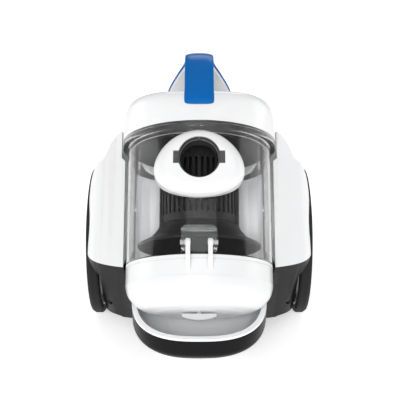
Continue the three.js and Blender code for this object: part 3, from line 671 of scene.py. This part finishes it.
def make_cup():
    profile = rounded([
        (CUP_R - CUP_WALL, -CUP_LENGTH), (CUP_R, -CUP_LENGTH), (CUP_R, -BEAD_HALF), (BEAD_R, -BEAD_HALF),
        (BEAD_R, BEAD_HALF), (CUP_R - CUP_WALL, BEAD_HALF),
    ], 1.3)
    port = shift(facing_front(rod(INLET_R + INLET_WALL + 0.5, 50, 100, ROUND_PORT)), z=INLET_A)
    cup = cut(lathe(profile), port)
    finish_piece(cup, "clear_cup", "bin", SMOKE, ["dust_cup"], BIN)


def collar_outline(grow, count=ROUND_PORT):
    points = []
    for i in range(count):
        t = 2 * math.pi * i / count
        c = math.cos(t)
        reach = 38 if c > 0 else 30
        points.append(((44.5 + grow) * math.sin(t) * (1 - 0.12 * c), (reach + grow) * c))
    return points


def make_collar():
    levels = smooth_path([(0, 40), (0, 79), (-0.5, 83), (-1.8, 86.6), (-4.2, 89.4), (-7.5, 91.2),
                          (-12, COLLAR_P)], 3)
    rings = [[(x, y, p) for x, y in collar_outline(grow)] for grow, p in levels]
    body = shift(facing_front(loft(rings)), z=COLLAR_A)
    cut(body, rod(CUP_R + GAP, -140, 40, ROUND))
    join(body, shift(facing_front(rod(INLET_R + INLET_WALL, 69.5, 80, ROUND_PORT)), z=INLET_A))
    cut(body, shift(facing_front(rod(INLET_R, 30, 120, ROUND_PORT)), z=INLET_A))
    for side in (-1, 1):
        low = (side * 21.5 - 4, -COLLAR_P - 5, INLET_A - 6.5)
        high = (side * 21.5 + 4, -COLLAR_P + 14, INLET_A + 6.5)
        cut(body, block(low, high))
    finish_piece(body, "inlet_mouth", "bin", WHITE, ["inlet_collar"], BIN, 0.7)


def make_inlet_liner():
    """Dark sleeve moulded into the bore of the inlet, with a stop ring and a keying tick."""
    outer = INLET_R - 0.05
    profile = rounded([(outer - 1.2, 66), (outer, 66), (outer, 91), (outer - 0.8, 91), (outer - 0.8, 85),
                       (outer - 2, 85), (outer - 2, 82), (outer - 1.2, 82)], 0.25, 2)
    sleeve = lathe(profile, ROUND_PORT)
    join(sleeve, block((-1.2, outer - 3, 85), (1.2, outer - 0.4, 90)))
    for side in (-1, 1):
        middle = side * 22.6
        ear = rounded([(middle - 2.7, -6.2), (middle + 2.7, -6.2), (middle + 2.7, 6.2),
                       (middle - 2.7, 6.2)], 0.8)
        join(sleeve, prism(ear, 79, 89.4))
    shift(facing_front(sleeve), z=INLET_A)
    finish_piece(sleeve, "inlet_sleeve", "bin", SLEEVE, [], BIN, 0.2, 2)


def make_bracket():
    front = -(CUP_R + GAP)
    outline = [(-17.5, -129), (17.5, -129), (17.5, -106), (14.5, -103), (-14.5, -103), (-17.5, -106)]
    plate = facing_front(prism(outline, CUP_R + GAP, CUP_R + 1.6))
    for side in (-1, 1):
        join(plate, block((side * 15.8 - 1.7, -HINGE_P - 4, HINGE_A - 6),
                          (side * 15.8 + 1.7, front, HINGE_A + 13)))
    join(plate, block((-17.3, -(CUP_R + 5), -108.6), (17.3, front, -106.4)))
    bore = shift(along_x(rod(PIN_R + GAP, -30, 30)), y=-HINGE_P, z=HINGE_A)
    cut(plate, bore)
    finish_piece(plate, "hinge_plate", "bin", SMOKE_DARK, ["hinge_bracket"], BIN, 0.35)


def make_hinge_pin(side, label):
    pin = along_x(lathe([(0, 8.2), (PIN_R, 8.2), (PIN_R, 18.3), (0, 18.3)], ROUND_SMALL))
    if side < 0:
        move(pin, LEFT)
    shift(pin, y=-HINGE_P, z=HINGE_A)
    finish_piece(pin, f"hinge_rod_{label}", "bin", PALE_GREY, [f"hinge_pin_{label}"],
                 BIN, 0.6)


def side_prism(outline, x0, x1):
    """An outline of (y, z) extruded along X."""
    return loft([[(x0, y, z) for y, z in outline], [(x1, y, z) for y, z in outline]])


def make_door():
    curve = smooth_path([(CUP_R, -150), *DOOR_PROFILE], 5)
    groove = [(CUP_R, DOOR_TOP - 3), (CUP_R - 0.8, DOOR_TOP - 3.4), (CUP_R - 0.8, DOOR_TOP - 4.1),
              (CUP_R, DOOR_TOP - 4.5)]
    profile = [
        (CUP_R - 3, DOOR_TOP), (CUP_R, DOOR_TOP), *groove, *curve, (0, DOOR_END), (0, DOOR_END + 3),
        (DOOR_END_R - 1, DOOR_END + 3), (CUP_R - 21, DOOR_BAND - 21), (CUP_R - 12, DOOR_BAND - 15),
        (CUP_R - 5.5, DOOR_BAND - 8), (CUP_R - 3, DOOR_BAND),
    ]
    door = lathe(profile, ROUND_FINE)
    cut(door, shift(rod(3.4, DOOR_END - 5, DOOR_END + 5), y=5 - LATCH_P))
    for side in (-1, 1):
        join(door, door_arm(side))
    finish_piece(door, "bin_floor", "door", WHITE, ["bin_door"], BIN, 0.45)


def door_arm(side):
    """One hinge strap, from its eye on the pin down to the door's wall."""
    low, high = side * ARM_X - ARM_HALF, side * ARM_X + ARM_HALF
    top, front, back = HINGE_A, -HINGE_P - 4.2, -HINGE_P + 3.6
    outline = [(front, top), (back, top), (back, DOOR_TOP - 0.5), (-CUP_R + 2, DOOR_TOP - 0.5),
               (-CUP_R + 2, DOOR_TOP - 14), (-CUP_R - 2.5, DOOR_TOP - 14), (front, DOOR_TOP - 4)]
    strap = side_prism(outline, low, high)
    join(strap, shift(along_x(rod(4.2, low, high)), y=-HINGE_P, z=HINGE_A))
    cut(strap, shift(along_x(rod(PIN_R + GAP, -30, 30)), y=-HINGE_P, z=HINGE_A))
    return strap


def make_latch_button():
    radius = 17.6
    angles = [math.pi * i / 32 for i in range(33)]
    arc = [(radius * math.cos(t), radius * math.sin(t)) for t in angles]
    plate = prism(arc, DOOR_END - 9, DOOR_END - LATCH_TRAVEL - GAP)
    crown = [(radius * k / 12, DOOR_END - 8 + 3.6 * (k / 12) ** 2) for k in range(-12, 13)]
    clip(plate, facing_front(prism([*crown, (radius, DOOR_END), (-radius, DOOR_END)], -radius, 5)))
    join(plate, shift(rod(3, DOOR_END - 5, DOOR_END + 11), y=5))
    shift(plate, y=-LATCH_P)
    finish_piece(plate, "release_button", "door_latch", PALE_GREY, ["latch_button"],
                 BIN, 1.6, 4)


# --------------------------------------------------------------------- handle
# (y, z, half width) of the strap's outer face, from its front foot over the top to its back foot
HANDLE_PATH = [
    (-58.3, 281.3, 15.8), (-55.9, 288.5, 15.5), (-49.9, 295.2, 15.3), (-40.9, 300.6, 15), (-27, 308, 15),
    (-12, 314.5, 15), (5, 318, 15), (20, 316, 15), (33, 310, 15.5), (43, 298, 17), (48, 283, 25),
    (50, 263, 35), (51, 240, 39), (52, 205, 40),
]


def handle_strip(inner, outer, inset):
    """The strap between two heights over its outer face, crowned less at its front foot."""
    path = smooth_path(HANDLE_PATH, 8)
    rings = []
    for i, (y, z, half) in enumerate(path):
        crown = 0.5 + 1.7 * min(i / 24, 1)
        y0, z0, _ = path[max(i - 1, 0)]
        y1, z1, _ = path[min(i + 1, len(path) - 1)]
        length = math.hypot(y1 - y0, z1 - z0)
        ny, nz = -(z1 - z0) / length, (y1 - y0) / length
        x = half - inset
        spread = [(-x + 2 * x * k / 8, outer) for k in range(9)]
        spread_back = [(x - 2 * x * k / 8, inner) for k in range(9)]
        ring = []
        for sx, depth in rounded(spread + spread_back, 1.2, 3):
            drop = crown * abs(sx / half) ** 3
            ring.append((sx, y + ny * (depth - drop), z + nz * (depth - drop)))
        rings.append(ring)
    return loft(rings)


def make_handle():
    for name, nodes, depths, slot, material in (
        ("handle_strap", ["handle_skin"], (-3, 0, 0), "blue_handle", BLUE),
        ("handle_rib", ["handle_core"], (-9, -3 - GAP, 1.2), "white_shell", WHITE),
    ):
        strap = handle_strip(*depths)
        cut(strap, move(hood_solid(GAP), BIN))
        finish_piece(strap, name, "lid", material, nodes)


# --------------------------------------------------------------- chassis nose
def super_arc(value, power):
    return math.copysign(abs(value) ** (2 / power), value)


def nose_outline(inset, back, count=72):
    half = NOSE_HALF - inset
    reach = NOSE_REACH - inset
    points = [(half, back)]
    for i in range(count + 1):
        t = math.pi * i / count
        points.append((half * super_arc(math.cos(t), NOSE_POWER),
                       NOSE_BACK - reach * super_arc(math.sin(t), NOSE_POWER)))
    points.append((-half, back))
    return points


def nose_ring(inset, z, back=CRADLE_BACK):
    return [(x, y, z) for x, y in nose_outline(inset, back)]


def make_cradle():
    lip = LIP_Z - LIP_THICK
    tray = prism(nose_outline(0, CRADLE_BACK), lip, LIP_Z)
    outer = smooth_path([(28, BOWL_FLOOR), (20, 44), (13.5, 50), (8, 56), (5, lip + 0.1)], 4)
    inner = smooth_path([(40, 43.5), (28, 48), (18, 55), (12, 63), (8.3, 70), (6, 75), (5, LIP_Z + 1)], 4)
    socket = shift(rod(7, BOWL_FLOOR - 8, BOWL_FLOOR + 1), y=CASTOR_Y)
    join(tray, loft([nose_ring(inset, z) for inset, z in outer]), socket)
    cut(tray, loft([nose_ring(inset, z, CRADLE_BACK + 5) for inset, z in inner]))
    cut(tray, shift(rod(4.3, BOWL_FLOOR - 10, BOWL_FLOOR - 1), y=CASTOR_Y), bin_space())
    # The tray wears the lighter copy of the white plastic, painted light in its shaded bowl.
    finish_piece(tray, "nose_tray", "chassis", TRAY_WHITE_PAINTED_LIGHT, ["front_cradle"], None, 0.9, 4)


def make_bumper():
    top = LIP_Z - LIP_THICK - GAP
    levels = smooth_path([(26, 34), (14, 43), (6, 49), (0.8, 55.5), (0, 63), (0, top)], 5)
    bumper = loft([nose_ring(inset, z) for inset, z in levels])
    cores = [(31, 33), (18.5, 43), (10.5, 49), (4.6, 56), (4.6, top + 1)]
    cut(bumper, loft([nose_ring(inset, z, CRADLE_BACK + 5) for inset, z in cores]))
    finish_piece(bumper, "nose_bumper", "chassis", BLACK, ["front_bumper"], None, 0.6)


# --------------------------------------------------------------- side panels
# (x, height along the bin's axis) of the shell's top edge
SHOULDER = smooth_path([
    (83, 22), (90, 17), (97, 8), (101, -1), (105, -9), (112, -14), (117.5, -26), (120.5, -44),
    (BODY_HALF, -66),
], 5)


def front_prism(outline, y0, y1):
    """An outline of (x, z) extruded along Y."""
    return loft([[(x, y0, z) for x, z in outline], [(x, y1, z) for x, z in outline]])


def shell_blank(inset, back):
    top = [(x - inset, a - inset) for x, a in SHOULDER]
    outline = [(60, 22 - inset), *top, (BODY_HALF - inset, -230), (60, -230)]
    return front_prism(outline, 2, back)


# plan of the shell's outer front corner, looking down the bin's axis
FRONT_CORNER = bezier((77, 3.2), (100, 6.5), (BODY_HALF, 11), (BODY_HALF, 27))


def rounded_front(inset):
    corner = [(x - inset if x > 115 else x, y + inset) for x, y in FRONT_CORNER]
    points = [(50, 3 + inset), *corner, (BODY_HALF - inset, 200), (50, 200)]
    return prism(points, -240, 22)


def make_side_shell(side, label):
    outer = move(clip(shell_blank(0, 180), rounded_front(0)), BIN)
    inner = move(clip(shell_blank(WALL, 181), rounded_front(WALL)), BIN)
    cut(inner, bay_outer(), wheel_arch(WALL))
    bay_cut = clip(move(block((0, 30 - GAP, -240), (90, 220, 60)), BIN), bay_outer())
    cut(outer, bin_space(), wheel_arch(0), inner, bay_cut)
    clip(outer, block((40, -160, PARTING_Z + GAP), (130, SPLIT_Y, 300)))
    if side < 0:
        move(outer, LEFT)
    name = f"shoulder_{label}"
    finish_piece(outer, name, "chassis", WHITE, [f"side_shell_{label}"], None, 0.9, 4)


def skirt_outline(level, inset):
    front = SKIRT_FRONT + SKIRT_RAKE * level + inset
    outer = BODY_HALF - 11 * level - inset
    inner = 60 if inset else NOSE_HALF + 1.5
    back = SPLIT_Y + 5 if inset else SPLIT_Y
    curve = bezier((88, front + 3), (outer - 18, front + 8), (outer, front + 11), (outer, front + 29))
    return [(inner, front), *curve, (outer, back), (inner, back)]


def skirt_ring(z, inset):
    level = (PARTING_Z - z) / (PARTING_Z - FLOOR_Z)
    return [(x, y, z) for x, y in skirt_outline(level, inset)]


def make_side_skirt(side, label):
    skirt = loft([skirt_ring(FLOOR_Z, 0), skirt_ring(PARTING_Z, 0)])
    hollow = loft([skirt_ring(FLOOR_Z + WALL, WALL), skirt_ring(PARTING_Z - WALL, WALL)])
    cut(hollow, wheel_arch(WALL))
    cut(skirt, hollow, wheel_arch(0))
    cut(skirt, shift(along_x(rod(AXLE_R + GAP, 95, 130)), y=WHEEL_Y, z=WHEEL_R))
    cut(skirt, shift(along_y(rod(3.3, -80, -20)), x=SCREW[0], z=SCREW[1]))
    cut(skirt, bin_space())
    if side < 0:
        move(skirt, LEFT)
    name = f"side_panel_{label}"
    finish_piece(skirt, name, "chassis", CHARCOAL, [f"side_skirt_{label}"], None, 1.0, 4)


# ------------------------------------------------------------- rear housings
# (y, half width, top) of the rear shell, from the split with the side shells to the back
REAR_SECTIONS = smooth_path([
    (SPLIT_Y + GAP, 120, 205), (72, 118, 204), (112, 111, 190), (144, 100, 165), (164, 86, 136),
    (REAR_Y, 70, 112),
], 5)
CORD = (56.6, 84)  # x and z of the cord outlet
PEDAL = (40, 122, 181)
PEDAL_TILT = -38


def rear_ring(y, half, top, inset):
    base = REAR_PARTING_Z - (5 if inset else 0)
    points = []
    for i in range(65):
        t = math.pi * i / 64
        points.append(((half - inset) * super_arc(math.cos(t), 3), y,
                       base + (top - inset - base) * super_arc(math.sin(t), 3)))
    return points


def tub_outline(inset):
    corner = bezier((107.3 - inset, 92), (105.5 - inset, 126 - inset / 2), (95 - inset / 2, 156 - inset),
                    (64, REAR_Y - 3 - inset), 20)
    front = CRADLE_BACK + GAP + inset
    step = SPLIT_Y + GAP + inset
    half = [(NOSE_HALF - inset, front), (NOSE_HALF - inset, step), (107 - inset, step), *corner]
    return [*half, *((-x, y) for x, y in reversed(half))]


def make_tub():
    """Lower half of the chassis, with floor vents and the two saddles under the motor."""
    top = REAR_PARTING_Z - GAP
    tub = prism(tub_outline(0), FLOOR_Z, top)
    hollow = prism(tub_outline(3), FLOOR_Z + WALL, top + 5)
    cut(tub, block((-80, -60, 46), (80, SPLIT_Y, 70)), hollow, bay_outer())
    for x in (-30, 30):
        cut(tub, block((x - 10, 120, FLOOR_Z - 1), (x + 10, 124, FLOOR_Z + 4)))
    for x in (-59, -33):
        saddle = block((x - 3, MOTOR_Y - 18, FLOOR_Z + 2), (x + 3, MOTOR_Y + 26, MOTOR_Z - 10))
        join(tub, cut(saddle, shift(along_x(rod(MOTOR_R + 6, -120, 120)), y=MOTOR_Y, z=MOTOR_Z)))
    finish_piece(tub, "chassis_tub", "chassis", BLACK, ["lower_chassis"], None, 1.2)


def pedal_outline(grow, count=ROUND_MEDIUM):
    points = []
    for i in range(count):
        t = 2 * math.pi * i / count
        points.append(((20 + grow) * super_arc(math.cos(t), 3), (12 + grow) * super_arc(math.sin(t), 3)))
    return points


def place_pedal(obj, side):
    x, y, z = PEDAL
    return shift(turn(obj, PEDAL_TILT, "X"), x * side, y, z)


def make_rear_shell():
    shell = loft([rear_ring(*section, 0) for section in REAR_SECTIONS])
    inside = [list(section) for section in REAR_SECTIONS]
    inside[0][0] -= 5
    inside[-1][0] -= WALL
    inner = loft([rear_ring(*section, WALL) for section in inside])
    cut(inner, bay_outer(), wheel_arch(WALL), wheel_arch(WALL, -1))
    grille_hole = block((-46, REAR_Y - 10, 66), (46, REAR_Y + 5, 102))
    cord_hole = shift(along_y(rod(8.4, REAR_Y - 40, REAR_Y + 5)), x=CORD[0], z=CORD[1])
    cut(shell, bin_space(), wheel_arch(0), wheel_arch(0, -1), inner, grille_hole, cord_hole)
    for side in (-1, 1):
        cut(shell, place_pedal(prism(pedal_outline(0.6), -25, 30), side))
    finish_piece(shell, "rear_cover", "chassis", WHITE, ["rear_shell"], None, 0.7)


def make_pedals():
    levels = [(0, -5), (0, 2), (-0.3, 2.9), (-1.1, 3.6), (-2.4, 3.95), (-4.5, 4), (-7, 3.7), (-9.5, 3.45)]
    for side, name, body in ((1, "power_pedal", "power_button"), (-1, "rewind_pedal", "rewind_button")):
        pedal = loft([[(x, y, z) for x, y in pedal_outline(grow)] for grow, z in levels])
        place_pedal(pedal, side)
        finish_piece(pedal, f"{name}_cap", body, BLUE, [name])


def make_grille():
    front, back = REAR_Y - 4, REAR_Y - 0.5
    outline = rounded([(-45.4, 66.6), (45.4, 66.6), (45.4, 101.4), (-45.4, 101.4)], 0.8)
    panel = front_prism(outline, front, back)
    for i in range(5):
        z = 71.5 + 5.6 * i
        slot = rounded([(-40, z), (40, z), (40, z + 2.8), (-40, z + 2.8)], 1.3)
        cut(panel, front_prism(slot, front - 2, back + 2))
    finish_piece(panel, "rear_louvre", "rear_grille", CHARCOAL, ["exhaust_grille"], None,
                 0.45)


def make_cord_outlet():
    profile = rounded([
        (4.5, REAR_Y - 22), (11, REAR_Y - 22), (11, REAR_Y - 20), (8, REAR_Y - 20), (8, REAR_Y),
        (5.4, REAR_Y), (4.5, REAR_Y - 2),
    ], 0.7)
    eyelet = shift(along_y(lathe(profile, ROUND_MEDIUM)), x=CORD[0], z=CORD[1])
    finish_piece(eyelet, "cord_eyelet", "chassis", BLACK, ["cord_outlet"])


# -------------------------------------------------------------------- wheels
def on_axle(obj, side):
    along_x(obj)
    if side < 0:
        move(obj, LEFT)
    return shift(obj, y=WHEEL_Y, z=WHEEL_R)


def make_wheel(side, label):
    body = f"wheel_{label}"
    inner = WHEEL_R - 9
    tyre_profile = rounded([
        (inner, WHEEL_IN), (WHEEL_R - 1.5, WHEEL_IN), (WHEEL_R, WHEEL_IN + 2), (WHEEL_R, WHEEL_OUT - 4),
        (WHEEL_R - 2.5, WHEEL_OUT - 0.5), (inner, WHEEL_OUT + 0.5),
    ], 1.6)
    tyre = on_axle(lathe(tyre_profile, ROUND_FINE), side)
    finish_piece(tyre, f"rim_tyre_{label}", body, RUBBER, [f"tyre_{label}"])
    rim = inner - GAP
    disc_profile = rounded([
        (AXLE_R + GAP, WHEEL_IN), (20, WHEEL_IN), (20, WHEEL_IN + 6), (rim - 3, WHEEL_IN + 4),
        (rim - 3, WHEEL_IN), (rim, WHEEL_IN), (rim, WHEEL_OUT + 0.2), (rim - 6, WHEEL_OUT + 0.5),
        (rim - 7, WHEEL_OUT - 0.6), (rim - 9, WHEEL_OUT - 0.4), (58, WHEEL_OUT + 0.6),
        (30, WHEEL_OUT + 1), (AXLE_R + GAP, WHEEL_OUT + 1),
    ], 0.5)
    disc = on_axle(lathe(disc_profile, ROUND_FINE), side)
    finish_piece(disc, f"rim_disc_{label}", body, BLACK_GLOSS, [f"wheel_disc_{label}"])
    slope = [(27, WHEEL_OUT + 1.3), (26, WHEEL_OUT + 1.9), (18, HUB_OUT - 0.3), (13, HUB_OUT - 0.1)]
    hub_profile = [
        (0, WHEEL_OUT + 1.3), *rounded(slope, 0.4, closed=False), (12.4, HUB_OUT - 0.6),
        (11.6, HUB_OUT - 0.6), (11, HUB_OUT - 0.1), (0, HUB_OUT),
    ]
    hub = on_axle(lathe(hub_profile, ROUND_PORT), side)
    finish_piece(hub, f"hub_{label}", body, BLACK, [f"hub_cap_{label}"])


def make_castor():
    trail = 14
    profile = rounded([(2.8, -7), (CASTOR_R, -7), (CASTOR_R, 7), (2.8, 7)], 2)
    roller = shift(along_x(lathe(profile, ROUND_MEDIUM)), y=CASTOR_Y + trail, z=CASTOR_R)
    finish_piece(roller, "castor_tyre", "castor_roller", RUBBER, ["castor_wheel"])


# ------------------------------------------------- CAD nodes that keep their shape
def dress_cad_nodes():
    table = [
        (BLACK, 0.4, ["castor_fork"]),
        (BLACK_GLOSS, 0.2, ["skirt_screw_left", "skirt_screw_right"]),
        (WHITE, 0.3, ["bin_bay"]),
        (INNER_DARK, 0.2, ["separator_plate", "vortex_finder", "filter_frame", "cord_drum", "reel_bracket",
                           "reel_brake", "power_switch"]),
        (SEAL, 0.2, ["door_gasket", "motor_mount_outer", "motor_mount_inner", "motor_inlet_seal"]),
        (STEEL, 0.2, ["axle_stub_left", "axle_stub_right", "motor_can", "fan_cover", "motor_rotor",
                      "reel_spring", "castor_pin", "latch_spring"]),
        (COPPER, 0.2, ["motor_stator"]),
        (GREY, 0.2, ["suction_fan"]),
        (FOAM, 0.5, ["filter_foam"]),
        (PAPER, 0.3, ["exhaust_filter"]),
    ]
    for material, bevel, nodes in table:
        for node in nodes:
            dress(node, material, bevel)


# ----------------------------------------------------------------- the setting
def add_area_light(name, location, target, size, power):
    light = bpy.data.lights.new(name, "AREA")
    light.shape = "RECTANGLE"
    light.size, light.size_y = size
    light.energy = power
    obj = bpy.data.objects.new(name, light)
    obj.location = location
    direction = Vector(target) - obj.location
    obj.rotation_euler = direction.to_track_quat("-Z", "Y").to_euler()
    bpy.context.scene.collection.objects.link(obj)


def add_lights():
    middle = (0, 0, 0.15)
    for name, location, size, power in (
        ("key", (0.1, -1.1, 1.8), (1.6, 0.8), 4),
        ("front", (-0.15, -1.85, 1.2), (1.0, 0.5), 24),
        ("top", (-0.2, 0.3, 2.2), (1.8, 1.4), 3),
        ("right", (1.4, 0.25, 0.5), (0.9, 0.9), 4),
        ("left", (-1.4, 0.25, 0.5), (0.9, 0.9), 4),
        ("back", (0.2, 1.8, 1.4), (1.2, 0.8), 8),
    ):
        add_area_light(name, location, middle, size, power)
    world = bpy.data.worlds.new("studio")
    world.use_nodes = True
    background = world.node_tree.nodes["Background"]
    background.inputs["Color"].default_value = (1, 1, 1, 1)
    background.inputs["Strength"].default_value = 0.38
    bpy.context.scene.world = world


def add_floor():
    bm = bmesh.new()
    bmesh.ops.create_grid(bm, x_segments=8, y_segments=8, size=20)
    floor = new_object("studio_floor", bm)
    material, nodes, links, shader, coordinates = start_material("studio_floor")
    grain = noise(nodes, links, coordinates, 6, 3)
    links.new(mix_colour(nodes, links, grain, (0.9, 0.9, 0.9), (0.92, 0.92, 0.92)),
              shader.inputs["Base Color"])
    shader.inputs["Roughness"].default_value = 0.7
    shader.inputs["Emission Color"].default_value = (1, 1, 1, 1)
    shader.inputs["Emission Strength"].default_value = 0.45
    floor.data.materials.append(material)


def add_camera():
    camera = bpy.data.cameras.new("camera")
    camera.lens = 78.75
    camera.sensor_width = 36
    obj = bpy.data.objects.new("camera", camera)
    obj.location = (0.0008, -0.8774, 0.6156)
    obj.rotation_euler = (math.radians(62), 0, 0)
    bpy.context.scene.collection.objects.link(obj)
    bpy.context.scene.camera = obj


bpy.context.scene.view_settings.view_transform = "Standard"
add_camera()
add_lights()
add_floor()
make_hood()
make_lid_gasket()
make_shroud()
make_skirt_cone()
make_cup()
make_collar()
make_inlet_liner()
make_bracket()
make_door()
make_latch_button()
make_handle()
make_cradle()
make_bumper()
for side, label in ((-1, "left"), (1, "right")):
    make_hinge_pin(side, label)
    make_side_shell(side, label)
    make_side_skirt(side, label)
    make_wheel(side, label)
make_tub()
make_rear_shell()
make_pedals()
make_grille()
make_cord_outlet()
make_castor()
dress_cad_nodes()
